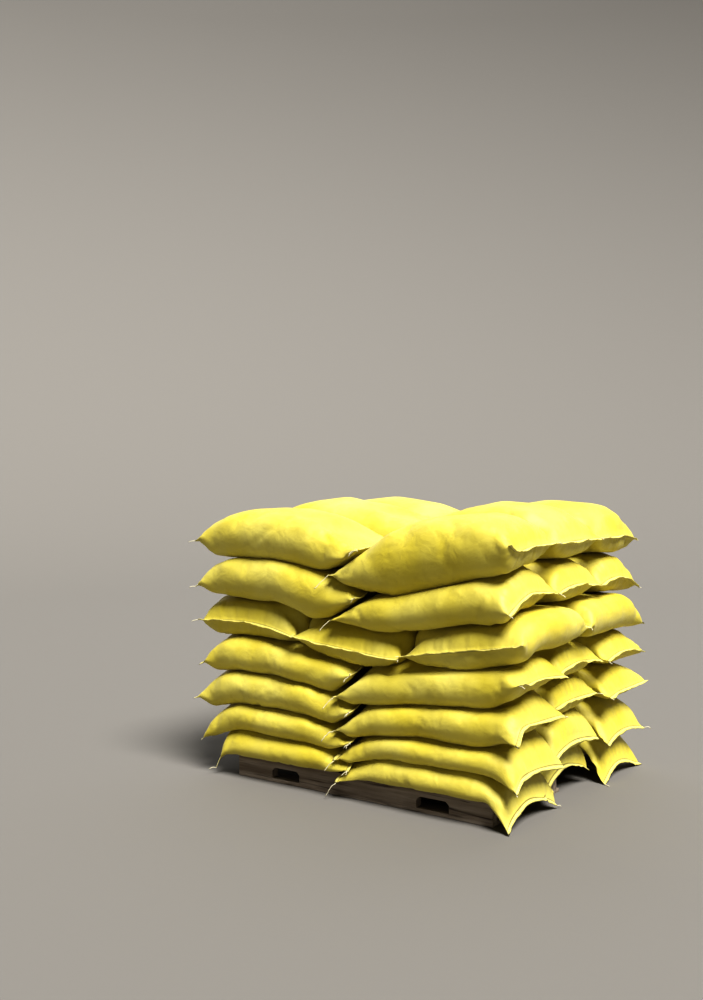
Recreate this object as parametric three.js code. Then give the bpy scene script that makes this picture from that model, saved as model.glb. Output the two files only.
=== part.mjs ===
// A wooden pallet loaded with seven layers of six filled woven sacks.
// Millimetres, +Z up. The origin is on the floor under the middle of the pallet. The long side of the
// pallet runs along X, and -Y is its front.
import * as THREE from 'three';
import { mergeVertices } from 'three/addons/utils/BufferGeometryUtils.js';

// Pallet
const PALLET_LENGTH = 1400;
const PALLET_DEPTH = 1200;
const BASE_BOARD_THICKNESS = 18;
const STRINGER_HEIGHT = 87;
const STRINGER_WIDTH = 42;
const DECK_THICKNESS = 20;
const DECK_BOARD_COUNT = 9;
const DECK_BOARD_WIDTH = 125;
const BASE_BOARD_WIDTH = 100;
const NOTCH_WIDTH = 165;
const NOTCH_CENTRE = 407;
const NOTCH_DEPTH = 52;
const NOTCH_CORNER = 16;
const FACE_GAP = 0.3;

// Stack: each level is the top of a layer over the middle of the pallet, and level 0 is the deck.
const LAYER_THICKNESS = [145, 140, 150, 160, 170, 195, 205];
const TURNED_LAYER = 5;
const STACK_LEFT = -930;
const STACK_RIGHT = 862;
const STACK_FRONT = -665;
const STACK_BACK = 737;
const SIDE_CLEARANCE = 2;

// How much further out the sewn ends of each layer reach than the rim of the stack.
const LEFT_REACH = [-120, -10, 24, -10, 0, 24, 16];
const RIGHT_REACH = [-36, 0, 0, 16, 0, -30, -40];
const MIDDLE_ROW_REACH = [-45, -40, -50, -40, 0, 0, 0];
const BACK_ROW_REACH = [30, 14, 14, 0, 0, 0, 0];

// How far each level hangs down at the rim of the stack, from level 0 to the top of layer 7. The front
// hangs by one amount on the left and by another on the right.
const LEFT_DROOP = [80, 100, 75, 45, 22, 8, 30, 24];
const RIGHT_DROOP = [125, 150, 80, 40, 16, 18, 18, 30];
const FRONT_LEFT_DROOP = [60, 75, 60, 53, 53, 28, 16, 8];
const FRONT_RIGHT_DROOP = [60, 85, 90, 78, 88, 60, 56, 6];
const BACK_DROOP = [60, 76, 80, 76, 66, 52, 40, 16];
const RIGHT_INSET = [0, 70, 70, 70, 70, 0, 0, 0];
const FRONT_BLEND = 200;

// How much of that the full ends of the sacks take back at the two right corners of the stack.
const FRONT_CORNER_LIFT = [0, 145, 120, 88, 84, 24, 15, 0];
const BACK_CORNER_LIFT = [0, 60, 90, 90, 20, 0, 0, 0];

// The front of a level slopes down between these distances from the middle of the pallet. Past the
// second it is level again, so that the flanks of the front sacks are as round above as below.
const FRONT_SLOPE_START = [600, 530, 431, 431, 486, 431, 431, 431];
const FRONT_SLOPE_END = [665, 665, 600, 600, 600, 622, 600, 600];

// How far each level dips where the sacks meet end to end, and how far from there the dip reaches on
// each side. Where it has a flat bottom its sides are straight, and otherwise they curve. Above the
// turned layer the dip is less deep behind the front row.
const JOINT_DIP = [0, 50, 66, 74, 52, 70, 100, 150];
const JOINT_REACH_LEFT = [260, 260, 350, 450, 529, 448, 500, 450];
const JOINT_REACH_RIGHT = [260, 350, 350, 750, 666, 667, 667, 650];
const FLAT_BOTTOM_LEFT = [0, 0, 0, 0, 229, 223.5, 0, 0];
const FLAT_BOTTOM_RIGHT = [0, 0, 0, 0, 229, 223.5, 229, 0];
const BACK_DIP_SHARE = 0.45;

// There the end of the left sack lies on the end of the right one: the joint slants up to the right,
// the left hem is above the middle of the layer and the right hem below it. Both ends reach a little
// past the middle of the stack.
const JOINT_SLANT = [60, 60, 60, 60, 0, 100, 110];
const SLANT_SHARE = [0, 0, 0.35, 0.85, 1];
const JOINT_TILT = 0.35;
const JOINT_LAP = [0, 8, 12, 12, 0, 9, 5];

// Sack: stations are fractions of the half length and the half width.
const LENGTH_STATIONS = [0, 0.49, 0.66, 0.88, 1];
const FULLNESS = [1, 1, 0.96, 0.8, 0.05];
const REACH_SHARE = [0, 0, 0, 0.5, 1];
const WIDTH_SHOULDER = 0.75;
const TURNED_WIDTH_STATIONS = [0, 0.23, WIDTH_SHOULDER, 1];
const FLANK_FULLNESS = 0.7;
const SHOULDER_INSET = 18;

// How far the corners of a sewn end hang below its middle, at the near right corner of the stack and
// at the other rims. A negative value lifts the corner and its flank.
const CORNER_EAR_DROOP = [65, 90, 75, -5, -15, 30, -40];
const EAR_DROOP = [80, 30, 6, 20, 10, 24, 0];
const EAR_START = 0.66;
const EAR_ZONE = 260;
const LOWEST_EAR = 3;

// How much the free tops of the uppermost sacks crown, in the front row and in the rows behind it.
const FRONT_CROWN = 6;
const BACK_CROWN = 52;

const PALLET_HEIGHT = BASE_BOARD_THICKNESS + STRINGER_HEIGHT + DECK_THICKNESS;
const HALF_LENGTH = PALLET_LENGTH / 2;
const HALF_DEPTH = PALLET_DEPTH / 2;
const STACK_MIDDLE = (STACK_LEFT + STACK_RIGHT) / 2;

const wood = new THREE.MeshStandardMaterial({ color: 0x6f6355, roughness: 0.9, metalness: 0 });
const weave = new THREE.MeshStandardMaterial({ color: 0xe0c63c, roughness: 0.6, metalness: 0 });

const pallet = new THREE.Group();
const stack = new THREE.Group();

function addMesh(group, name, geometry, material, x, y, z) {
  const mesh = new THREE.Mesh(geometry, material);
  mesh.name = name;
  mesh.position.set(x, y, z);
  group.add(mesh);
}

// The outline of a stringer seen from the front, with two fork notches cut into its underside.
function stringerOutline() {
  const shape = new THREE.Shape();
  shape.moveTo(-HALF_LENGTH, 0);
  for (const centre of [-NOTCH_CENTRE, NOTCH_CENTRE]) {
    const left = centre - NOTCH_WIDTH / 2;
    const right = centre + NOTCH_WIDTH / 2;
    shape.lineTo(left, 0);
    shape.lineTo(left, NOTCH_DEPTH - NOTCH_CORNER);
    shape.lineTo(left + NOTCH_CORNER, NOTCH_DEPTH);
    shape.lineTo(right - NOTCH_CORNER, NOTCH_DEPTH);
    shape.lineTo(right, NOTCH_DEPTH - NOTCH_CORNER);
    shape.lineTo(right, 0);
  }
  shape.lineTo(HALF_LENGTH, 0);
  shape.lineTo(HALF_LENGTH, STRINGER_HEIGHT - 2 * FACE_GAP);
  shape.lineTo(-HALF_LENGTH, STRINGER_HEIGHT - 2 * FACE_GAP);
  return shape;
}

function addStringers() {
  const settings = { depth: STRINGER_WIDTH, bevelEnabled: false };
  const reach = HALF_DEPTH - STRINGER_WIDTH / 2;
  const places = { front: -reach, middle: 0, back: reach };
  for (const [place, y] of Object.entries(places)) {
    const geometry = new THREE.ExtrudeGeometry(stringerOutline(), settings);
    geometry.rotateX(Math.PI / 2);
    const z = BASE_BOARD_THICKNESS + FACE_GAP;
    addMesh(pallet, `stringer_${place}`, geometry, wood, 0, y + STRINGER_WIDTH / 2, z);
  }
}

function addDeckBoards() {
  const step = (PALLET_LENGTH - DECK_BOARD_WIDTH) / (DECK_BOARD_COUNT - 1);
  const thickness = DECK_THICKNESS - FACE_GAP;
  for (let index = 0; index < DECK_BOARD_COUNT; index++) {
    const x = (DECK_BOARD_WIDTH - PALLET_LENGTH) / 2 + index * step;
    const geometry = new THREE.BoxGeometry(DECK_BOARD_WIDTH, PALLET_DEPTH, thickness);
    addMesh(pallet, `deck_board_${index + 1}`, geometry, wood, x, 0, PALLET_HEIGHT - DECK_THICKNESS / 2);
  }
}

function addBaseBoards() {
  const reach = HALF_DEPTH - BASE_BOARD_WIDTH / 2;
  const places = { front: -reach, middle: 0, back: reach };
  for (const [place, y] of Object.entries(places)) {
    const geometry = new THREE.BoxGeometry(PALLET_LENGTH, BASE_BOARD_WIDTH, BASE_BOARD_THICKNESS);
    addMesh(pallet, `base_board_${place}`, geometry, wood, 0, y, BASE_BOARD_THICKNESS / 2);
  }
}

// How far a coordinate is past the start of a drooping rim: 0 inside it, 1 at the rim.
function rimShare(coordinate, start, rim) {
  const share = (coordinate - start) / (rim - start);
  return Math.min(Math.max(share, 0), 1);
}

function isFrontRow(rowCentre) {
  return rowCentre < -PALLET_DEPTH / 4;
}

// How far a level dips at a place along the joint between the left and the right sacks.
function jointDip(level, x) {
  const distance = x - STACK_MIDDLE;
  const reach = distance < 0 ? -JOINT_REACH_LEFT[level] : JOINT_REACH_RIGHT[level];
  const flat = distance < 0 ? -FLAT_BOTTOM_LEFT[level] : FLAT_BOTTOM_RIGHT[level];
  return JOINT_DIP[level] * rimShare(distance, reach, flat) ** (flat === 0 ? 2 : 1);
}

function levelHeight(level) {
  const below = LAYER_THICKNESS.slice(0, level);
  return PALLET_HEIGHT + below.reduce((sum, thickness) => sum + thickness, 0);
}

// The surface between two layers: flat over the pallet, hanging down past its edges, and dipping
// where the sacks of the upper layers meet end to end. Level 0 is the deck and starts at its edges.
function levelSurface(level, rowCentre, x, y) {
  const left = rimShare(x, -HALF_LENGTH, STACK_LEFT);
  const right = rimShare(x, HALF_LENGTH - RIGHT_INSET[level], STACK_RIGHT);
  const front = rimShare(y, -FRONT_SLOPE_START[level], -FRONT_SLOPE_END[level]);
  const back = rimShare(y, HALF_DEPTH, STACK_BACK);
  const dipShare = level > TURNED_LAYER && !isFrontRow(rowCentre) ? BACK_DIP_SHARE : 1;
  const blend = rimShare(x, STACK_MIDDLE - FRONT_BLEND, STACK_MIDDLE + FRONT_BLEND);
  const frontDroop = FRONT_LEFT_DROOP[level] * (1 - blend) + FRONT_RIGHT_DROOP[level] * blend;
  const droop = LEFT_DROOP[level] * left ** 1.5 + RIGHT_DROOP[level] * right ** 1.5
    + frontDroop * front + BACK_DROOP[level] * back ** 1.5 + jointDip(level, x) * dipShare
    - FRONT_CORNER_LIFT[level] * (right * front) ** 1.5 - BACK_CORNER_LIFT[level] * (right * back) ** 1.5;
  return levelHeight(level) - droop;
}

// How far a sewn corner of a sack hangs, from the rim of the stack that it is nearest to.
function earDroop(layer, x, y, lengthAlongX) {
  if (lengthAlongX && Math.abs(x - STACK_MIDDLE) < EAR_ZONE) {
    return 0;
  }
  const nearCorner = x > STACK_MIDDLE + EAR_ZONE && y < STACK_FRONT + EAR_ZONE;
  return nearCorner && y < -HALF_DEPTH ? CORNER_EAR_DROOP[layer - 1] : EAR_DROOP[layer - 1];
}

// How much further out than the rim of the stack a point of a sewn end reaches.
function endReach(layer, rowCentre, side, station) {
  const outerRowReach = isFrontRow(rowCentre) ? 0 : BACK_ROW_REACH[layer - 1];
  const rowReach = Math.abs(rowCentre) < PALLET_DEPTH / 6 ? MIDDLE_ROW_REACH[layer - 1] : outerRowReach;
  const reach = side < 0 ? LEFT_REACH[layer - 1] : RIGHT_REACH[layer - 1] + rowReach;
  return side * reach * REACH_SHARE[station];
}

// The crown of the uppermost sacks, highest in the middle of each.
function crown(layer, rowCentre, u, v) {
  if (layer < LAYER_THICKNESS.length) {
    return 0;
  }
  const height = isFrontRow(rowCentre) ? FRONT_CROWN : BACK_CROWN;
  return height * (1 - u ** 2) * (1 - v ** 2);
}

// A filled sack that fills one cell of its layer: flat where it bears on the layers above and below,
// rounded at its flanks, thinning to a sewn hem at both ends, with the corners of the hem hanging.
// The sack is a box cut into cells, and each of their corner points is moved into place.
function sackGeometry(layer, cell, lengthAlongX) {
  const centreX = (cell.left + cell.right) / 2;
  const centreY = (cell.front + cell.back) / 2;
  const halfX = (cell.right - cell.left) / 2 - SIDE_CLEARANCE / 2;
  const halfY = (cell.back - cell.front) / 2 - SIDE_CLEARANCE / 2;
  const halfWidth = lengthAlongX ? halfY : halfX;
  const onDeck = (HALF_DEPTH - Math.abs(centreY)) / halfY;
  const widthStations = lengthAlongX ? [0, Math.min(WIDTH_SHOULDER, onDeck), 1] : TURNED_WIDTH_STATIONS;
  const halfCells = { length: LENGTH_STATIONS.length - 1, width: widthStations.length - 1 };
  const geometry = new THREE.BoxGeometry(2, 2, 2, 2 * halfCells.length, 2 * halfCells.width, 2);
  geometry.deleteAttribute('normal');
  geometry.deleteAttribute('uv');
  const points = geometry.attributes.position;
  for (let index = 0; index < points.count; index++) {
    const along = Math.round(points.getX(index) * halfCells.length);
    const across = Math.round(points.getY(index) * halfCells.width);
    const side = Math.round(points.getZ(index));
    const station = Math.abs(along);
    const isEdge = Math.abs(across) === halfCells.width;
    const u = Math.sign(along) * LENGTH_STATIONS[station];
    const inset = isEdge && side !== 0 ? SHOULDER_INSET / halfWidth : 0;
    const v = Math.sign(across) * (widthStations[Math.abs(across)] - inset);
    const isOuterEnd = lengthAlongX && along * centreX > 0;
    const isJointEnd = lengthAlongX && along * centreX < 0;
    const fullness = FULLNESS[station] * (isEdge ? FLANK_FULLNESS : 1);
    const endShare = rimShare(station === 0 ? 0 : Math.abs(u), EAR_START, 1);
    const seamShare = 0.5 + (isJointEnd ? JOINT_TILT * Math.sign(along) * endShare : 0);
    const faceShare = seamShare + ((side + 1) / 2 - seamShare) * (side === 0 ? 0 : fullness);
    const slant = isJointEnd ? JOINT_SLANT[layer - 1] * SLANT_SHARE[station] * (2 * faceShare - 1) : 0;
    const lap = isJointEnd ? Math.sign(along) * JOINT_LAP[layer - 1] * SLANT_SHARE[station] : 0;
    const reach = isOuterEnd ? endReach(layer, centreY, Math.sign(along), station) : lap;
    const x = centreX + halfX * (lengthAlongX ? u : -v) + reach + slant;
    const y = centreY + halfY * (lengthAlongX ? v : u);
    const top = levelSurface(layer, centreY, x, y) + crown(layer, centreY, u, v);
    const bottom = levelSurface(layer - 1, centreY, x, y);
    const hang = earDroop(layer, lengthAlongX ? x : centreX, y, lengthAlongX);
    const flankShare = hang < 0 ? Math.min(Math.abs(v) / widthStations[1], 1) : v ** 2;
    const cornerShare = lengthAlongX ? flankShare : ((1 - v) / 2) ** 1.3;
    const seam = bottom + (top - bottom) * seamShare - hang * cornerShare * endShare;
    const face = side > 0 ? top - FACE_GAP / 2 : bottom + FACE_GAP / 2;
    const height = side === 0 ? seam : seam + (face - seam) * fullness;
    points.setXYZ(index, x, y, Math.max(height, LOWEST_EAR * (side + 2)));
  }
  return mergeVertices(geometry, 1e-3);
}

// Splits a length into equal cells and names them.
function splitCells(start, end, names) {
  const step = (end - start) / names.length;
  return names.map((name, index) => ({ name, start: start + index * step, end: start + (index + 1) * step }));
}

function addSacks() {
  for (let layer = 1; layer <= LAYER_THICKNESS.length; layer++) {
    const turned = layer === TURNED_LAYER;
    const rowNames = turned ? ['front', 'back'] : ['front', 'middle', 'back'];
    const columnNames = turned ? ['left', 'centre', 'right'] : ['left', 'right'];
    const rows = splitCells(STACK_FRONT, STACK_BACK, rowNames);
    const columns = splitCells(STACK_LEFT, STACK_RIGHT, columnNames);
    for (const row of rows) {
      for (const column of columns) {
        const cell = { left: column.start, right: column.end, front: row.start, back: row.end };
        const name = `sack_layer${layer}_${row.name}_${column.name}`;
        addMesh(stack, name, sackGeometry(layer, cell, !turned), weave, 0, 0, 0);
      }
    }
  }
}

addStringers();
addBaseBoards();
addDeckBoards();
addSacks();

const loadedPallet = new THREE.Group();
loadedPallet.name = 'pallet_of_sacks';
loadedPallet.add(pallet, stack);

export default loadedPallet;
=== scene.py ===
import math
import random

import bpy
import numpy as np
from mathutils import Euler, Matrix, Quaternion, Vector, noise
from mathutils.bvhtree import BVHTree


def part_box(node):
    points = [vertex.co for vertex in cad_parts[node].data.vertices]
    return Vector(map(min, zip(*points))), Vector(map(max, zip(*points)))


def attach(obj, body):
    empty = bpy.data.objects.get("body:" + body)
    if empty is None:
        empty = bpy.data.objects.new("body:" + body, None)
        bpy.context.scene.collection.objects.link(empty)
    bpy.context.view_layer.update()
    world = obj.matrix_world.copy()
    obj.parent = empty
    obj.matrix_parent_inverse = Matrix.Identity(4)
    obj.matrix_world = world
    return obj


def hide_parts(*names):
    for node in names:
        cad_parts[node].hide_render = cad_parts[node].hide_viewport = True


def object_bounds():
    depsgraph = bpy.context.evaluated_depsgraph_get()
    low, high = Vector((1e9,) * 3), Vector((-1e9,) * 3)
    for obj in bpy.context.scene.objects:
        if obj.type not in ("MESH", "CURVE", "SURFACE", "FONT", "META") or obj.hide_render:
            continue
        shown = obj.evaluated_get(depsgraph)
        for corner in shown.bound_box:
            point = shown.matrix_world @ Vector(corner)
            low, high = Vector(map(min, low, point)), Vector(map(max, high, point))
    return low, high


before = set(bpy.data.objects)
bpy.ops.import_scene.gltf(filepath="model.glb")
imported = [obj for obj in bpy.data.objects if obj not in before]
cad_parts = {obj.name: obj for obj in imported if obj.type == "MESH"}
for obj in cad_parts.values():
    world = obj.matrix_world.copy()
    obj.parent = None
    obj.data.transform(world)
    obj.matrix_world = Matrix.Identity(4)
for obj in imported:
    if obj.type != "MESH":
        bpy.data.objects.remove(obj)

cad_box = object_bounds()

# Viewpoint. The stack is seen from a little above its own height, past its near right corner, so
# that the long front and the sewn ends on the right both show.
EYE = (2.838, -4.610, 1.458)
TURN_LEFT = math.radians(35.5)
LOOK_DOWN = math.radians(1.158)
FOCAL_LENGTH = 39.17
FILM_LONG_SIDE = 36.0

viewpoint = bpy.data.cameras.new("viewpoint")
viewpoint.lens = FOCAL_LENGTH
viewpoint.sensor_width = FILM_LONG_SIDE
camera = bpy.data.objects.new("viewpoint", viewpoint)
camera.location = EYE
camera.rotation_euler = Euler((math.pi / 2 - LOOK_DOWN, 0, TURN_LEFT))
bpy.context.scene.collection.objects.link(camera)
bpy.context.scene.camera = camera

# Filled sacks. Each is a tube of yellow woven polypropylene tape, filled with grain and sewn shut
# across both ends. It is lofted over its solid in the stack: a ring of points goes round the tube
# at each station, over the top and back underneath.
HEM_WIDTH = 0.019
CLOTH_THICKNESS = 0.003
STATIONS = 64
STATION_CROWDING = 0.4
POINTS_ACROSS = 50
OUTLINE_STEPS = 60
INSIDE_END = 0.995
INSIDE_FLANK = 0.999
TURNED_LAYER = 5
TOP_LAYER = 7
RIM_TOLERANCE = 0.08
NEIGHBOUR_REACH = 0.06
SURFACE_GAP = 0.0002

# How an end narrows towards its seam, as shares of the half width and of the half length.
SEAM_BOW = 0.016
TOP_SEAM_BOW = 0.004
STAGGER = 0.016
WAIST = 0.10
RIM_WAIST = 0.02
WAIST_START = 0.55
INNER_LENS = 0.80
OUTER_LENS = 0.25
LENS_POWER = 2.2
LENS_START = 0.6
LENS_END = 0.95
FLANK_ROUND = 30
UNDERCUT = 0.040
UNDERCUT_LEVEL = 0.35
UNDERCUT_START = 0.6

# How the cloth lies over the grain. Relaxing pulls each point in, and then lets it out again.
RELAX_PASSES = 40
RELAX_IN = 0.5
RELAX_OUT = -0.52
SEAM_PASSES = 40
LUMP_SIZE = 0.16
LUMP_HEIGHT = 0.009
PUCKER_SIZE = 0.026
PUCKER_LENGTH = 0.2
PUCKER_HEIGHT = 0.005
PUCKER_SHARPNESS = 3.2
PUCKER_REACH = 0.035
PUCKER_START = 0.012
FOLDS_A_SACK = 8
FOLD_WIDTH = 0.016
FOLD_DEPTH = 0.008
FOLD_HALF_LENGTHS = (0.04, 0.09)
FOLD_RIM_WIDTH = 2.2
FOLD_RIM_SHARE = 0.5


def search_tree(names):
    points = []
    faces = []
    for name in names:
        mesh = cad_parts[name].data
        first = len(points)
        points += [vertex.co.copy() for vertex in mesh.vertices]
        faces += [[first + corner for corner in face.vertices] for face in mesh.polygons]
    return BVHTree.FromPolygons(points, faces)


def smooth_step(value, start, end):
    share = min(max((value - start) / (end - start), 0), 1)
    return share * share * (3 - 2 * share)


def even_spacing(line, count):
    steps = np.linalg.norm(np.diff(line, axis=0), axis=1)
    lengths = np.concatenate([[0], np.cumsum(steps)])
    places = np.linspace(0, lengths[-1], count)
    return np.stack([np.interp(places, lengths, line[:, axis]) for axis in range(3)], axis=1)


class Sack:
    """One sack of the stack: its place, its direction and the rings of points round its tube."""

    def __init__(self, node):
        self.node = node
        self.layer = int(node[len("sack_layer")])
        self.along = 1 if self.layer == TURNED_LAYER else 0
        self.across = 1 - self.along
        self.chance = random.Random(node)
        self.seed = self.chance.uniform(0, 100)
        self.low, self.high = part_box(node)
        self.middle = (self.low + self.high) / 2
        self.half = (self.high - self.low) / 2
        self.body = self.half[self.along] - HEM_WIDTH
        self.held_back = {end: self.hold_back(end) for end in (-1, 1)}
        self.tree = search_tree([node])
        self.neighbours = search_tree(self.touching_nodes())
        self.shares = [self.station_share(station) for station in range(STATIONS + 1)]
        self.rings = np.array([self.ring(share) for share in self.shares])

    def is_joint(self, end):
        """True for an end that meets another sack end to end inside the stack."""
        return end * self.middle[self.along] < 0

    def faces_front(self):
        return self.low.y - cad_box[0].y < RIM_TOLERANCE

    def hold_back(self, end):
        """How far this end stays behind its place at the rim."""
        stagger = self.chance.uniform(0, STAGGER)
        return 0 if self.is_joint(end) or self.layer == TOP_LAYER else stagger

    def at_rim(self, side):
        rim = self.high if side > 0 else self.low
        stack_rim = cad_box[1] if side > 0 else cad_box[0]
        return abs(rim[self.across] - stack_rim[self.across]) < RIM_TOLERANCE

    def flank_lens(self, side, end):
        """The share that a flank thins by towards a free end. It stays fuller at the stack's rim."""
        if self.is_joint(end):
            return 0
        return OUTER_LENS if self.at_rim(side) else INNER_LENS

    def flank_waist(self, side, end):
        """How far the flank pulls in before it flares to the corner of a free end."""
        if self.is_joint(end):
            return 0
        return RIM_WAIST if self.at_rim(side) else WAIST

    def touching_nodes(self):
        names = []
        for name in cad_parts:
            low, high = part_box(name)
            below = all(low[i] < self.high[i] + NEIGHBOUR_REACH for i in range(3))
            above = all(high[i] > self.low[i] - NEIGHBOUR_REACH for i in range(3))
            if name != self.node and below and above:
                names.append(name)
        return names

    def station_share(self, station):
        evenly = 2 * station / STATIONS - 1
        crowded = math.sin(math.pi / 2 * evenly)
        return (1 - STATION_CROWDING) * evenly + STATION_CROWDING * crowded

    def surface_height(self, place, cross, above):
        start = Vector((0, 0, self.high.z + 1 if above else self.low.z - 1))
        start[self.along] = place
        start[self.across] = cross
        hit = self.tree.ray_cast(start, Vector((0, 0, -1 if above else 1)))[0]
        return hit.z if hit else self.middle.z

    def ring(self, share):
        """The tube's outline at one station: the top from flank to flank, then the underside."""
        place = self.middle[self.along] + share * self.half[self.along] * INSIDE_END
        direction = 1 if self.along == 0 else -1
        halves = []
        for above in (True, False):
            line = np.zeros((OUTLINE_STEPS + 1, 3))
            for step in range(OUTLINE_STEPS + 1):
                cross = -math.cos(math.pi * step / OUTLINE_STEPS) * direction * INSIDE_FLANK
                line[step, self.across] = self.middle[self.across] + cross * self.half[self.across]
                line[step, 2] = self.surface_height(place, line[step, self.across], above)
            halves.append(line)
        centre = (halves[0] + halves[1]) / 2
        end = -1 if share < 0 else 1
        across = (centre[:, self.across] - self.middle[self.across]) / self.half[self.across]
        lens = np.where(across < 0, self.flank_lens(-1, end), self.flank_lens(1, end))
        thinning = 1 - lens * np.abs(across) ** LENS_POWER * smooth_step(abs(share), LENS_START, LENS_END)
        thinning *= np.sqrt(1 - np.minimum(np.abs(across), 1) ** FLANK_ROUND)
        for half in halves:
            half[:, 2] = centre[:, 2] + (half[:, 2] - centre[:, 2]) * thinning
            half[[0, -1]] = centre[[0, -1]]
        top = even_spacing(halves[0], POINTS_ACROSS + 1)
        underside = even_spacing(halves[1][::-1], POINTS_ACROSS + 1)
        ring = np.concatenate([top[:-1], underside[:-1]])
        across = (ring[:, self.across] - self.middle[self.across]) / self.half[self.across]
        waist = np.where(across < 0, self.flank_waist(-1, end), self.flank_waist(1, end))
        waist = waist * math.sin(math.pi * smooth_step(abs(share), WAIST_START, 1.0)) ** 2
        ring[:, self.across] = self.middle[self.across] + across * self.half[self.across] * (1 - waist)
        thickness = ring[:, 2] - np.roll(ring[::-1], 1, axis=0)[:, 2]
        depth = 0.5 - thickness / np.ptp(thickness)
        for side in (-1, 1):
            if self.at_rim(side):
                flank = np.clip((side * across - UNDERCUT_START) / (1 - UNDERCUT_START), 0, 1)
                lean = np.sqrt(flank) * UNDERCUT * (1 - abs(share) ** 3)
                ring[:, self.across] -= side * lean * (depth - UNDERCUT_LEVEL)
        seam_bow = TOP_SEAM_BOW if self.layer == TOP_LAYER else SEAM_BOW
        bow = seam_bow * np.clip(1 - across ** 2, 0, 1) * abs(share) ** 4
        inward = bow + self.held_back[end] * abs(share)
        ring[:, self.along] = self.middle[self.along] + share * self.body - end * inward
        return ring

    def flatten_seams(self):
        """Presses both ends flat, in a soft curve from corner to corner."""
        for end in (0, -1):
            mirrored = np.roll(self.rings[end][::-1], 1, axis=0)
            centre = (self.rings[end] + mirrored) / 2
            lift = np.sign(self.rings[end][:, 2] - mirrored[:, 2])
            level = centre[:POINTS_ACROSS + 1, 2].copy()
            for _ in range(SEAM_PASSES):
                level[1:-1] += ((level[:-2] + level[2:]) / 2 - level[1:-1]) / 2
            centre[:POINTS_ACROSS + 1, 2] = level
            centre[POINTS_ACROSS + 1:, 2] = level[-2:0:-1]
            self.rings[end] = centre
            self.rings[end][:, 2] += lift * CLOTH_THICKNESS / 2

    def relax(self, passes):
        inner = self.rings[1:-1]
        for amount in (RELAX_IN, RELAX_OUT) * passes:
            around = (np.roll(inner, 1, 1) + np.roll(inner, -1, 1)) / 2 - inner
            lengthwise = (self.rings[:-2] + self.rings[2:]) / 2 - inner
            inner += amount * (around + lengthwise) / 2

    def outward(self):
        around = np.roll(self.rings, -1, 1) - np.roll(self.rings, 1, 1)
        lengthwise = np.gradient(self.rings, axis=0)
        normals = np.cross(lengthwise, around)
        return normals / np.maximum(np.linalg.norm(normals, axis=2, keepdims=True), 1e-9)

    def add_lumps_and_puckers(self):
        normals = self.outward()
        seam_row = self.rings[0]
        for station in range(1, STATIONS):
            from_seam = (1 - abs(self.shares[station])) * self.body
            fade = math.exp(-from_seam / PUCKER_REACH) * min(1, from_seam / PUCKER_START)
            end = -1 if self.shares[station] < 0 else 1
            for point in range(2 * POINTS_ACROSS):
                place = Vector(self.rings[station, point])
                lump = noise.noise(place / LUMP_SIZE + Vector((self.seed, 0, 0)))
                side = 1 if point < POINTS_ACROSS else 2
                cross = seam_row[point][self.across] / PUCKER_SIZE
                lengthwise = from_seam / PUCKER_LENGTH
                fold = abs(noise.noise(Vector((cross, lengthwise, self.seed + 7 * end * side))))
                height = LUMP_HEIGHT * lump + PUCKER_HEIGHT * fade * (1 - PUCKER_SHARPNESS * fold)
                self.rings[station, point] += normals[station, point] * height

    def add_folds(self):
        """Soft folds, each a short slanting valley where the filling has let the cloth go slack."""
        normals = self.outward()
        for _ in range(FOLDS_A_SACK):
            station = self.chance.randint(STATIONS // 8, STATIONS * 7 // 8)
            point = self.chance.randrange(2 * POINTS_ACROSS)
            centre = self.rings[station, point]
            heading = Vector(normals[station, point]).orthogonal().normalized()
            heading.rotate(Quaternion(Vector(normals[station, point]), self.chance.uniform(0, math.pi)))
            half_length = self.chance.uniform(*FOLD_HALF_LENGTHS)
            depth = FOLD_DEPTH * self.chance.uniform(0.5, 1.0)
            offset = self.rings - centre
            along = offset @ np.array(heading)
            aside = np.sqrt(np.maximum((offset ** 2).sum(axis=2) - along ** 2, 0))
            valley = np.exp(-(aside / FOLD_WIDTH) ** 2)
            rim = FOLD_RIM_SHARE * np.exp(-(aside / FOLD_WIDTH / FOLD_RIM_WIDTH) ** 2)
            amount = -depth * (valley - rim) * np.exp(-(along / half_length) ** 2)
            amount[[0, -1]] = 0
            self.rings += normals * amount[:, :, None]

    def stay_clear(self, places):
        """Moves each point back to where it is nearer to its own solid than to a neighbour's."""
        for index, place in enumerate(places):
            point = Vector(place)
            near, facing, _, distance = self.tree.find_nearest(point)
            if (point - near).dot(facing) <= 0:
                continue
            other, other_facing, _, gap = self.neighbours.find_nearest(point)
            if (point - other).dot(other_facing) < 0:
                gap = -gap
            if distance > gap:
                move = min((distance - gap) / 2 + SURFACE_GAP, distance)
                places[index] = point + (near - point).normalized() * move
        return places


sacks = [Sack(name) for name in sorted(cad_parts) if name.startswith("sack_")]
for sack in sacks:
    sack.flatten_seams()
    sack.relax(RELAX_PASSES)
    sack.add_lumps_and_puckers()
    sack.add_folds()


# Tube mesh of a sack: quads between neighbouring rings. The rings at both ends are pressed flat, so
# the points over and under each other there are joined.
def tube_faces(ring_count, points_round):
    faces = []
    half = points_round // 2

    def corner(ring, point):
        point %= points_round
        if ring in (0, ring_count - 1) and point > half:
            point = points_round - point
        return ring * points_round + point

    for ring in range(ring_count - 1):
        for point in range(points_round):
            square = [corner(ring, point), corner(ring + 1, point)]
            square += [corner(ring + 1, point + 1), corner(ring, point + 1)]
            faces.append(square)
    return faces


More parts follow.
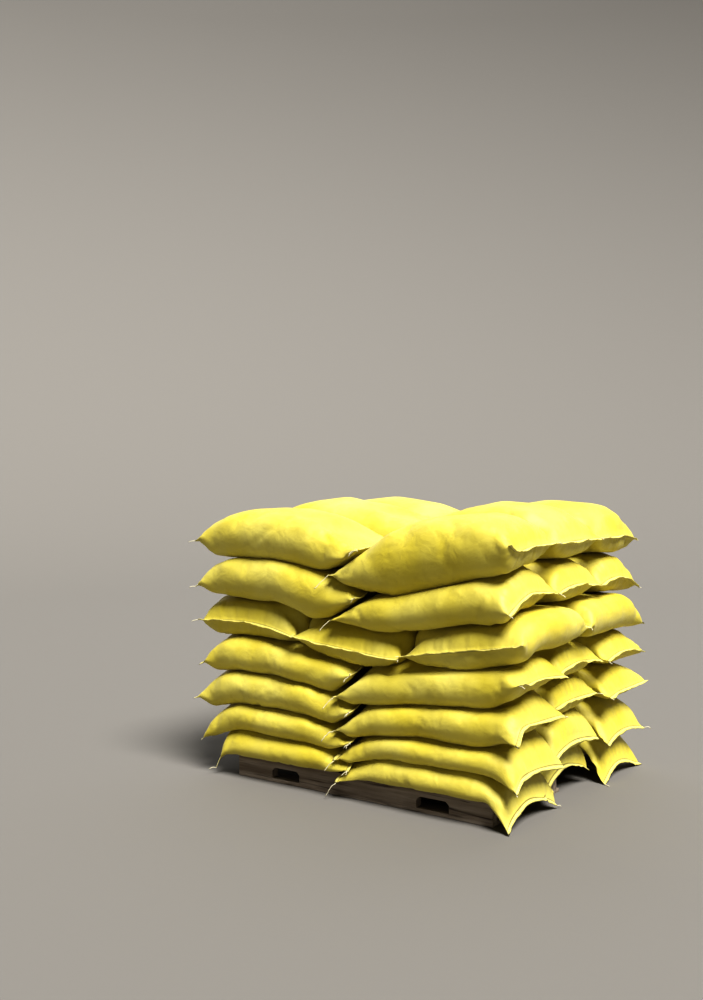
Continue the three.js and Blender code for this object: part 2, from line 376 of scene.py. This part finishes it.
def make_mesh(name, points, faces):
    used = sorted({corner for face in faces for corner in face})
    renumber = {old: new for new, old in enumerate(used)}
    mesh = bpy.data.meshes.new(name)
    mesh.from_pydata([tuple(points[old]) for old in used], [], [[renumber[c] for c in f] for f in faces])
    mesh.update()
    obj = bpy.data.objects.new(name, mesh)
    bpy.context.scene.collection.objects.link(obj)
    return obj, used


# Swelling. The grain presses every sack outwards while its sewn ends and the faces that bear on
# other sacks are held. The cloth near a seam is a little wider than the seam, so it puckers there.
SWELL_FRAMES = 20
SWELL_LIMIT = 0.014
SEAM_FULLNESS = -0.07
SEAM_TOLERANCE = 0.001
LOOSE_REACH = 0.12
CONTACT_GAP = 0.004
FREE_GAP = 0.018


def add_cloth(sack):
    points = sack.rings.reshape(-1, 3)
    faces = tube_faces(STATIONS + 1, 2 * POINTS_ACROSS)
    sack.model, sack.used = make_mesh(sack.node + "_tube", points, faces)
    held = sack.model.vertex_groups.new(name="held")
    loose = sack.model.vertex_groups.new(name="loose")
    for new, old in enumerate(sack.used):
        station = old // (2 * POINTS_ACROSS)
        from_seam = (1 - abs(sack.shares[station])) * sack.body
        gap = sack.neighbours.find_nearest(Vector(points[old]))[3]
        grip = 1 - min(max((gap - CONTACT_GAP) / (FREE_GAP - CONTACT_GAP), 0), 1)
        held.add([new], 1.0 if from_seam < SEAM_TOLERANCE else grip, "REPLACE")
        loose.add([new], math.exp(-from_seam / LOOSE_REACH), "REPLACE")
    cloth = sack.model.modifiers.new("swelling", "CLOTH")
    settings = cloth.settings
    settings.quality = 4
    settings.mass = 0.2
    settings.tension_stiffness = 14
    settings.compression_stiffness = 14
    settings.shear_stiffness = 4
    settings.bending_stiffness = 0.3
    settings.use_pressure = True
    settings.uniform_pressure_force = 4
    settings.vertex_group_mass = "held"
    settings.vertex_group_shrink = "loose"
    settings.shrink_min = -0.005
    settings.shrink_max = SEAM_FULLNESS
    settings.effector_weights.gravity = 0
    cloth.collision_settings.use_collision = False
    cloth.point_cache.frame_start = 1
    cloth.point_cache.frame_end = SWELL_FRAMES


def take_swollen_shape(sack):
    evaluated = sack.model.evaluated_get(bpy.context.evaluated_depsgraph_get())
    swollen = np.zeros(len(evaluated.data.vertices) * 3, np.float32)
    evaluated.data.vertices.foreach_get("co", swollen)
    points = sack.rings.reshape(-1, 3)
    moves = swollen.reshape(-1, 3) - points[sack.used]
    lengths = np.linalg.norm(moves, axis=1, keepdims=True)
    moves *= np.minimum(1, SWELL_LIMIT / np.maximum(lengths, 1e-9))
    points[sack.used] += moves
    sack.rings = points.reshape(sack.rings.shape)
    bpy.data.objects.remove(sack.model)


for sack in sacks:
    add_cloth(sack)
for step in range(1, SWELL_FRAMES + 1):
    bpy.context.scene.frame_set(step)
for sack in sacks:
    take_swollen_shape(sack)
bpy.context.scene.frame_set(1)

for sack in sacks:
    clear = sack.stay_clear(sack.rings.reshape(-1, 3))
    sack.rings = clear.reshape(sack.rings.shape)


# Woven tape. Flat tapes of yellow polypropylene cross over and under each other, with a soft gloss,
# paler worn patches and a little dust. A dark line along each seam is painted shade of the seam's
# crease, mixed with dirt. Every value that changes over the cloth is worked out here.
class Shade:
    """An output of a shader node. Adding to it or multiplying it adds Math nodes."""

    def __init__(self, tree, socket=None):
        self.tree = tree
        self.socket = socket

    def node(self, kind, inputs=None, output=0, **settings):
        node = self.tree.nodes.new("ShaderNode" + kind)
        for name, value in settings.items():
            setattr(node, name, value)
        for name, value in (inputs or {}).items():
            if isinstance(value, Shade):
                self.tree.links.new(value.socket, node.inputs[name])
            else:
                node.inputs[name].default_value = value
        return Shade(self.tree, node.outputs[output])

    def math(self, operation, first, second=0.0):
        return self.node("Math", {0: first, 1: second}, operation=operation)

    def mix(self, share, first, second):
        return self.node("Mix", {0: share, 6: first, 7: second}, output=2, data_type="RGBA")

    def __add__(self, other):
        return self.math("ADD", self, other)

    def __radd__(self, other):
        return self.math("ADD", other, self)

    def __sub__(self, other):
        return self.math("SUBTRACT", self, other)

    def __rsub__(self, other):
        return self.math("SUBTRACT", other, self)

    def __mul__(self, other):
        return self.math("MULTIPLY", self, other)

    def __rmul__(self, other):
        return self.math("MULTIPLY", other, self)

    def clamp(self):
        return self.node("Clamp", {0: self})


def new_material(name):
    material = bpy.data.materials.new(name)
    material.use_nodes = True
    surface = material.node_tree.nodes["Principled BSDF"]
    return material, surface, Shade(material.node_tree)


def connect(surface, name, shade):
    shade.tree.links.new(shade.socket, surface.inputs[name])


YELLOW = (0.555, 0.465, 0.042, 1)
YELLOW_PALE = (0.63, 0.565, 0.140, 1)
YELLOW_DEEP = (0.36, 0.275, 0.012, 1)
HEM_COLOUR = (0.66, 0.60, 0.18, 1)
# The seam line's colour: painted shade in the seam's crease, with dirt in the stitches as well.
SEAM_SHADE_AND_DIRT = (0.10, 0.065, 0.010, 1)
THREAD_COLOUR = (0.62, 0.58, 0.42, 1)
TAPE_WIDTH = 0.003
TUBE_GIRTH = 1.10
WEAVE_HEIGHT = 0.0003
WEAVE_SHADE = 0.06
FADE_BASE = 2.718
GATHER_HEIGHT = 0.005
GATHER_FADE = 32
GATHER_PALENESS = 0.3
GATHERS_A_METRE = 48
GATHERS_LENGTHWISE = 5
CRUMPLE_HEIGHT = 0.007
CRUMPLES_A_METRE = 13.0
HEM_PALENESS = 0.6
HEM_EDGE_SHARPNESS = 400
SEAM_LINE_SHARPNESS = 480
SEAM_LINE_OUTSIDE = 0.001


def woven_material():
    material, surface, shade = new_material("woven_yellow_tape")
    place = shade.node("TexCoord", output="Object")
    broad = shade.node("TexNoise", {"Vector": place, "Scale": 3.2, "Detail": 3.0})
    fine = shade.node("TexNoise", {"Vector": place, "Scale": 26.0, "Detail": 4.0, "Roughness": 0.6})
    colour = shade.mix((broad * 2.4 - 0.8).clamp(), YELLOW, YELLOW_PALE)
    colour = shade.mix((fine * 2.0 - 1.05).clamp() * 0.5, colour, YELLOW_DEEP)
    cloth = shade.node("Attribute", output="Vector", attribute_name="cloth_place")
    along, around, from_seam = [shade.node("SeparateXYZ", {0: cloth}, output=axis) for axis in "XYZ"]
    warp = shade.math("SINE", along * (math.pi / TAPE_WIDTH))
    weft = shade.math("SINE", around * (math.pi / TAPE_WIDTH))
    weave = warp * weft
    colour = shade.mix(weave * WEAVE_SHADE + WEAVE_SHADE, colour, YELLOW_DEEP)
    close = shade.math("POWER", FADE_BASE, shade.math("ABSOLUTE", from_seam) * -GATHER_FADE)
    colour = shade.mix(close * GATHER_PALENESS, colour, YELLOW_PALE)
    hem = (0.5 - from_seam * HEM_EDGE_SHARPNESS).clamp()
    colour = shade.mix(hem * HEM_PALENESS, colour, HEM_COLOUR)
    # A narrow dark line just outside each seam: painted shade of the crease there, mixed with dirt.
    from_stitches = shade.math("ABSOLUTE", from_seam + SEAM_LINE_OUTSIDE)
    seam_shade_mask = (1.6 - from_stitches * SEAM_LINE_SHARPNESS).clamp()
    colour = shade.mix(seam_shade_mask * (0.35 + broad * 0.7), colour, SEAM_SHADE_AND_DIRT)
    connect(surface, "Base Color", colour)
    connect(surface, "Roughness", broad * 0.15 + 0.42)
    stretched = {"X": along * GATHERS_LENGTHWISE, "Y": around * GATHERS_A_METRE, "Z": broad}
    gathered = shade.node("CombineXYZ", stretched)
    gathers = shade.node("TexNoise", {"Vector": gathered, "Scale": 1.0, "Detail": 2.0})
    crumpled = {"Vector": place, "Scale": CRUMPLES_A_METRE, "Detail": 3.0, "Distortion": 0.5}
    crumples = shade.node("TexNoise", crumpled)
    height = weave * WEAVE_HEIGHT + gathers * close * GATHER_HEIGHT + crumples * CRUMPLE_HEIGHT
    bump = shade.node("Bump", {"Height": height, "Strength": 0.9, "Distance": 1.0})
    connect(surface, "Normal", bump)
    surface.inputs["Specular IOR Level"].default_value = 0.5
    surface.inputs["Sheen Weight"].default_value = 0.10
    surface.inputs["Sheen Roughness"].default_value = 0.5
    return material


woven_tape = woven_material()
white_thread, thread_surface, _ = new_material("white_sewing_thread")
thread_surface.inputs["Base Color"].default_value = THREAD_COLOUR
thread_surface.inputs["Roughness"].default_value = 0.8


# Sewn ends. Past its seam the tube is folded over twice into a flat hem, stiff and a little wavy.
# The hem goes on from the last ring of the tube, at the slope that the sack has there.
HEM_STEPS = 4
HEM_WAVE = 0.005
HEM_RAGGED = 0.0025
WAVES_A_METRE = 14
TATTERS_A_METRE = 55
STEEPEST_HEM = 1.1
SLOPE_STATION = 4
FLOOR_CLEARANCE = 0.0035


def hem_slope(sack, seam, inner):
    mirrored = np.roll(inner[::-1], 1, axis=0)
    rise = seam[:, 2] - (inner[:, 2] + mirrored[:, 2]) / 2
    run = np.abs(seam[:, sack.along] - inner[:, sack.along])
    return np.clip(rise / np.maximum(run, 1e-4), -STEEPEST_HEM, STEEPEST_HEM)


def hem_rings(sack, end):
    """Rings from the seam out to the folded edge, for one end of a sack: -1 or 1."""
    seam = sack.rings[0 if end < 0 else -1]
    slope = hem_slope(sack, seam, sack.rings[SLOPE_STATION if end < 0 else -1 - SLOPE_STATION])
    level = (seam[:, 2] + np.roll(seam[::-1], 1, axis=0)[:, 2]) / 2
    side = np.sign(seam[:, 2] - level)
    chance = sack.seed + 3 * end
    across = seam[:, sack.across]
    waves = np.array([noise.noise(Vector((place * WAVES_A_METRE, chance, 0))) for place in across])
    ragged = np.array([noise.noise(Vector((place * TATTERS_A_METRE, chance, 5))) for place in across])
    rings = []
    for step in range(1, HEM_STEPS + 1):
        share = step / HEM_STEPS
        out = HEM_WIDTH * share / np.sqrt(1 + slope ** 2)
        thickness = CLOTH_THICKNESS if step < HEM_STEPS else 0
        ring = seam.copy()
        ring[:, sack.along] += end * (out + HEM_RAGGED * 2 * share * ragged)
        height = level + slope * out + 2 * share * (HEM_WAVE * waves + HEM_RAGGED * ragged)
        ring[:, 2] = np.maximum(height, FLOOR_CLEARANCE) + side * thickness / 2
        rings.append(ring)
    return rings


# Sewing thread. Each hem is closed by one row of white thread, which is left hanging in a tail at one
# corner. Where the sacks meet on the front, the upper end keeps a tuft and the lower end a string.
THREAD_RADIUS = 0.0012
TAIL_RADIUS = 0.0019
STITCH_LENGTH = 0.011
STITCH_LIFT = 0.7
TAIL_STEP = 0.008
TAIL_LENGTHS = (0.015, 0.045)
TAIL_SAG = 0.9
TAIL_KINK = 0.8
TAIL_KINKS = 9
TAIL_SEED = 7
TAIL_SPREAD = 0.6
TAIL_RISE = 0.1
NEAR_TAIL_CHANCE = 0.75
TUFT_LENGTH = 0.02
TUFT_LEANS = (Vector((0.45, -0.5, 0.5)), Vector((-0.05, -0.5, 0.1)), Vector((-0.55, -0.5, -0.3)))
STRING_LENGTH = 0.05
STRING_LEAN = Vector((-0.7, -0.45, -0.5))
SKEW_DIRECTION = Vector((0.13, 0.21, 0.97))

# Vector noise starts from the clock unless it is given a seed. It bends the tails.
noise.seed_set(TAIL_SEED)


def thread_tube(path, radius):
    """Points and faces of a three-sided tube along a path."""
    points = []
    faces = []
    for index, place in enumerate(path):
        ahead = path[min(index + 1, len(path) - 1)] - path[max(index - 1, 0)]
        sideways = ahead.cross(SKEW_DIRECTION).normalized()
        upwards = sideways.cross(ahead).normalized()
        for corner in range(3):
            angle = 2 * math.pi * corner / 3
            points.append(place + radius * (math.cos(angle) * sideways + math.sin(angle) * upwards))
    for index in range(len(path) - 1):
        for corner in range(3):
            first, second = 3 * index + corner, 3 * index + (corner + 1) % 3
            faces.append([first, second, second + 3, first + 3])
    last = 3 * len(path) - 3
    faces += [[2, 1, 0], [last, last + 1, last + 2]]
    return points, faces


def stitch_path(ring):
    """A running stitch along the middle of a hem, passing over and under it."""
    half = POINTS_ACROSS
    over = ring[:half + 1]
    under = np.concatenate([ring[half:], ring[:1]])[::-1]
    line = (over + under) / 2
    length = np.linalg.norm(np.diff(line, axis=0), axis=1).sum()
    count = int(2 * length / STITCH_LENGTH)
    line = even_spacing(line, count)
    lift = CLOTH_THICKNESS / 2 + THREAD_RADIUS * STITCH_LIFT
    return [Vector(p) + Vector((0, 0, lift if i % 2 else -lift)) for i, p in enumerate(line)]


def tail_path(sack, start, lean, length):
    """A loose end of thread: it leaves the hem, then hangs, with the kinks of cut thread."""
    path = [start.copy()]
    place = start.copy()
    for step in range(int(length / TAIL_STEP)):
        share = step * TAIL_STEP / length
        kink = noise.noise_vector(Vector((sack.seed, TAIL_KINKS * share, lean.x * 5)))
        move = lean + Vector((0, 0, -TAIL_SAG * share)) + kink * TAIL_KINK
        place = place + move.normalized() * TAIL_STEP
        place.z = max(place.z, FLOOR_CLEARANCE)
        path.append(place.copy())
    return path


def sack_threads(sack, rings):
    """The stitches of both hems and their tails, each with its radius."""
    paths = []
    for end, ring in ((-1, rings[HEM_STEPS // 2]), (1, rings[-1 - HEM_STEPS // 2])):
        stitches = stitch_path(ring)
        paths.append((stitches, THREAD_RADIUS))
        flanks = sorted((stitches[0], stitches[-1]), key=lambda p: p[sack.across])
        outer = flanks[0] if sack.chance.random() < NEAR_TAIL_CHANCE else flanks[1]
        outwards = Vector((0, 0, TAIL_RISE))
        outwards[sack.along] = end
        outwards[sack.across] = -TAIL_SPREAD if outer == flanks[0] else TAIL_SPREAD
        length = sack.chance.uniform(*TAIL_LENGTHS)
        if not (sack.is_joint(end) and sack.faces_front()):
            paths.append((tail_path(sack, outer, outwards, length), TAIL_RADIUS))
        elif sack.along == 0 and end > 0:
            for lean in TUFT_LEANS:
                paths.append((tail_path(sack, flanks[0], lean, TUFT_LENGTH + length / 2), TAIL_RADIUS))
        elif sack.along == 0:
            string = tail_path(sack, flanks[0], STRING_LEAN, STRING_LENGTH + length)
            paths.append((string, TAIL_RADIUS))
    return paths


def build_sack(sack):
    """One mesh of tube, hems and threads. Each corner of the cloth gets its place for the weave."""
    rings = np.array([*hem_rings(sack, -1)[::-1], *sack.rings, *hem_rings(sack, 1)])
    count = len(rings)
    round_count = 2 * POINTS_ACROSS
    points = [Vector(p) for p in rings.reshape(-1, 3)]
    faces = tube_faces(count, round_count)
    cloth_faces = len(faces)
    for path, radius in sack_threads(sack, rings):
        tube_points, tube = thread_tube(path, radius)
        faces += [[corner + len(points) for corner in face] for face in tube]
        points += tube_points
    obj, _ = make_mesh("filled_" + sack.node, points, faces)
    lengthwise = np.linalg.norm(np.diff(rings, axis=0), axis=2).mean(axis=1)
    lengths = np.concatenate([[0], np.cumsum(lengthwise)])
    seams = (lengths[HEM_STEPS], lengths[-1 - HEM_STEPS])
    spacing = TUBE_GIRTH / round_count
    values = []
    for ring in range(count - 1):
        for point in range(round_count):
            for next_ring, next_point in ((0, 0), (1, 0), (1, 1), (0, 1)):
                length = lengths[ring + next_ring]
                inside = min(length - seams[0], seams[1] - length)
                values += [length, (point + next_point) * spacing, inside]
    values += [0.0] * (3 * len(obj.data.loops) - len(values))
    places = obj.data.attributes.new("cloth_place", "FLOAT_VECTOR", "CORNER")
    places.data.foreach_set("vector", values)
    obj.data.materials.append(woven_tape)
    obj.data.materials.append(white_thread)
    finishes = [0] * cloth_faces + [1] * (len(faces) - cloth_faces)
    obj.data.polygons.foreach_set("material_index", finishes)
    obj.data.shade_smooth()
    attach(obj, "root")
    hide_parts(sack.node)


for sack in sacks:
    build_sack(sack)


# Nails. Round steel nails, in pairs, hold the deck boards and the base boards to the stringers. They
# are driven flush and have rusted brown.
NAIL_RADIUS = 0.005
NAIL_PROUD = 0.0002
NAIL_DEPTH = 0.003
NAIL_SIDES = 10
NAIL_OFFSET = 0.014
BASE_NAIL_SHARES = (-0.9, -0.3, 0.3, 0.9)
RUSTED_STEEL = (0.085, 0.042, 0.022, 1)

rusted_steel, nail_surface, _ = new_material("rusted_nail_steel")
nail_surface.inputs["Base Color"].default_value = RUSTED_STEEL
nail_surface.inputs["Metallic"].default_value = 0.6
nail_surface.inputs["Roughness"].default_value = 0.7


def nail_places(low, high, along):
    """Pairs of nails: over each stringer on a deck board, along its rail under a base board."""
    stringers = [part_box(node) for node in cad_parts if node.startswith("stringer")]
    if along == 0:
        stations = [share * high.x for share in BASE_NAIL_SHARES]
    else:
        stations = [(box[0].y + box[1].y) / 2 for box in stringers]
    places = []
    for station in stations:
        for offset in (-NAIL_OFFSET, NAIL_OFFSET):
            place = Vector((0, 0, low.z if along == 0 else high.z))
            place[along] = station
            place[1 - along] = (low[1 - along] + high[1 - along]) / 2 + offset
            places.append(place)
    return places


def nail_head(centre, facing):
    """Points and faces of a nail head. It faces up, 1, on a deck board and down, -1, under a base."""
    inwards = Vector((0, 0, -facing * NAIL_DEPTH))
    points = [centre + Vector((0, 0, facing * NAIL_PROUD)), centre + inwards]
    faces = []
    for side in range(NAIL_SIDES):
        angle = 2 * math.pi * side / NAIL_SIDES
        rim = centre + NAIL_RADIUS * Vector((math.cos(angle), facing * math.sin(angle), 0))
        points += [rim, rim + inwards]
        upper = 2 + 2 * side
        beside = 2 + 2 * ((side + 1) % NAIL_SIDES)
        faces += [[0, upper, beside], [1, beside + 1, upper + 1], [upper, upper + 1, beside + 1, beside]]
    return points, faces


# Pallet boards. Sawn softwood, left rough and gone grey and brown outdoors, with worn edges. The
# deck boards lie across the stringers and the base boards run along under them.
WOOD_DARK = (0.040, 0.028, 0.019, 1)
WOOD_BROWN = (0.170, 0.132, 0.096, 1)
WOOD_GREY = (0.340, 0.290, 0.235, 1)
EDGE_ROUND = 0.003
EDGE_WEAR = 0.0025
BOARD_STATION = 0.03
BOARD_POINTS = (0.6, 0.2, -0.2, -0.6)
FLAT_WEAR = 0.2
CORNER_STEPS = 2
WEAR_PATCHES = 23
END_SPLINTERS = 60
GRAIN_ACROSS = 38.0
GRAIN_ALONG = 1.6


def wood_material(name, along):
    material, surface, shade = new_material(name)
    place = shade.node("TexCoord", output="Object")
    grain_scale = [GRAIN_ACROSS] * 3
    grain_scale[along] = GRAIN_ALONG
    stretched = shade.node("Mapping", {"Vector": place, "Scale": grain_scale})
    grain = shade.node("TexNoise", {"Vector": stretched, "Scale": 1.0, "Detail": 6.0, "Roughness": 0.62})
    cracks = shade.node("TexNoise", {"Vector": stretched, "Scale": 2.6, "Detail": 2.0, "Distortion": 0.4})
    stains = shade.node("TexNoise", {"Vector": place, "Scale": 7.0, "Detail": 3.0})
    colour = shade.mix((grain * 3.2 - 1.1).clamp(), WOOD_BROWN, WOOD_GREY)
    crack = (2.6 - cracks * 6.4).clamp()
    colour = shade.mix(crack, colour, WOOD_DARK)
    colour = shade.mix((stains * 3.0 - 1.3).clamp() * 0.6, colour, WOOD_BROWN)
    connect(surface, "Base Color", colour)
    connect(surface, "Roughness", 0.95 - grain * 0.15)
    bump = shade.node("Bump", {"Height": grain - crack * 1.5, "Strength": 0.6, "Distance": 0.002})
    connect(surface, "Normal", bump)
    return material


wood_along_x = wood_material("weathered_wood_lengthwise", 0)
wood_along_y = wood_material("weathered_wood_crosswise", 1)


def board_outline(half_width, half_height):
    """A rectangle with round corners and extra points along its wide sides, each with its wear."""
    outline = []
    for turn in range(4):
        for step in range(CORNER_STEPS + 1):
            angle = math.pi / 2 * (turn + step / CORNER_STEPS)
            corner = (1 if turn in (0, 3) else -1, 1 if turn in (0, 1) else -1)
            x = corner[0] * (half_width - EDGE_ROUND) + EDGE_ROUND * math.cos(angle)
            z = corner[1] * (half_height - EDGE_ROUND) + EDGE_ROUND * math.sin(angle)
            outline.append((x, z, 1.0))
        if turn in (0, 2):
            side = 1 if turn == 0 else -1
            for share in BOARD_POINTS:
                outline.append((side * share * half_width, side * half_height, FLAT_WEAR))
    return outline


def build_board(node, along):
    """A board with its nails, in the place of its solid. It runs along X, 0, or Y, 1."""
    low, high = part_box(node)
    middle = (low + high) / 2
    half = (high - low) / 2
    across = 1 - along
    outline = board_outline(half[across], half.z)
    if along == 0:
        outline = outline[::-1]
    stations = round(2 * half[along] / BOARD_STATION)
    points = []
    for station in range(stations + 1):
        share = 2 * station / stations - 1
        for cross, height, wear in outline:
            place = Vector((0, 0, middle.z + height))
            place[along] = middle[along] + share * half[along]
            place[across] = middle[across] + cross
            rough = EDGE_WEAR * wear * max(noise.noise(place * WEAR_PATCHES), 0)
            place[across] -= math.copysign(rough, cross)
            place.z -= math.copysign(rough / 2, height)
            if abs(share) == 1:
                place[along] -= share * EDGE_WEAR * abs(noise.noise(place * END_SPLINTERS))
            points.append(place)
    size = len(outline)
    faces = []
    for station in range(stations):
        for corner in range(size):
            first, second = station * size + corner, station * size + (corner + 1) % size
            faces.append([first, first + size, second + size, second])
    faces.append(list(range(size)))
    faces.append([stations * size + corner for corner in reversed(range(size))])
    wooden_faces = len(faces)
    for place in nail_places(low, high, along):
        head_points, head_faces = nail_head(place, -1 if along == 0 else 1)
        faces += [[corner + len(points) for corner in face] for face in head_faces]
        points += head_points
    obj, _ = make_mesh("sawn_" + node, points, faces)
    obj.data.materials.append(wood_along_x if along == 0 else wood_along_y)
    obj.data.materials.append(rusted_steel)
    finishes = [0] * wooden_faces + [1] * (len(faces) - wooden_faces)
    obj.data.polygons.foreach_set("material_index", finishes)
    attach(obj, "root")
    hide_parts(node)


for node in sorted(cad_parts):
    if node.startswith("base_board"):
        build_board(node, 0)
    if node.startswith("deck_board"):
        build_board(node, 1)

# Stringers. Three rails of sawn softwood run under the deck, notched from below so that forks can
# enter from the side. They keep their solids, with the edges worn round.
for node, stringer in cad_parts.items():
    if node.startswith("stringer"):
        bevel = stringer.modifiers.new("worn_edges", "BEVEL")
        bevel.width = EDGE_ROUND
        bevel.segments = 2
        bevel.limit_method = "ANGLE"
        stringer.data.materials.clear()
        stringer.data.materials.append(wood_along_x)

# Floor and light. The floor is pale and turns up into a wall far off. A wide soft lamp stands high
# on the right, a weaker one high behind, and the surround is dim, so that the sacks are dark below.
FLOOR_RADIUS = 10
WALL_RISE = 17
FLOOR_RINGS = 24
FLOOR_SIDES = 48
FLOOR_COLOUR = (0.158, 0.150, 0.139, 1)
WARM_DAYLIGHT = (1.0, 0.985, 0.95)
COOL_DAYLIGHT = (0.98, 0.99, 1.0)
SURROUND_COLOUR = (0.94, 0.96, 1.0, 1)

floor_points = [(0, 0, 0)]
floor_faces = []
for ring in range(1, FLOOR_RINGS + 1):
    turn = max(0, ring / FLOOR_RINGS - 0.5) * math.pi
    radius = FLOOR_RADIUS * min(2 * ring / FLOOR_RINGS, 1) + WALL_RISE * math.sin(turn)
    for side in range(FLOOR_SIDES):
        angle = 2 * math.pi * side / FLOOR_SIDES
        height = WALL_RISE * (1 - math.cos(turn))
        floor_points.append((radius * math.cos(angle), radius * math.sin(angle), height))
        here = 1 + (ring - 1) * FLOOR_SIDES
        beside = (side + 1) % FLOOR_SIDES
        inner = [0] if ring == 1 else [here - FLOOR_SIDES + beside, here - FLOOR_SIDES + side]
        floor_faces.append([here + side, here + beside, *inner])
floor_mesh = bpy.data.meshes.new("floor")
floor_mesh.from_pydata(floor_points, [], floor_faces)
floor_mesh.shade_smooth()
floor = bpy.data.objects.new("floor", floor_mesh)
bpy.context.scene.collection.objects.link(floor)
floor_material, floor_surface, _ = new_material("pale_floor")
floor_surface.inputs["Base Color"].default_value = FLOOR_COLOUR
floor_surface.inputs["Roughness"].default_value = 0.8
floor_mesh.materials.append(floor_material)


def add_sun(name, direction, softness, strength, colour):
    data = bpy.data.lights.new(name, "SUN")
    data.angle = math.radians(softness)
    data.energy = strength
    data.color = colour
    light = bpy.data.objects.new(name, data)
    light.rotation_euler = (-Vector(direction)).to_track_quat("-Z", "Y").to_euler()
    bpy.context.scene.collection.objects.link(light)


add_sun("door_light", (0.49, -0.24, 0.84), 28, 5.9, WARM_DAYLIGHT)
add_sun("yard_light", (-0.32, 0.62, 0.72), 70, 1.1, COOL_DAYLIGHT)
world = bpy.data.worlds.new("surround")
world.use_nodes = True
world.node_tree.nodes["Background"].inputs["Color"].default_value = SURROUND_COLOUR
world.node_tree.nodes["Background"].inputs["Strength"].default_value = 0.05
bpy.context.scene.world = world
bpy.context.scene.view_settings.view_transform = "Standard"
bpy.context.scene.view_settings.look = "High Contrast"
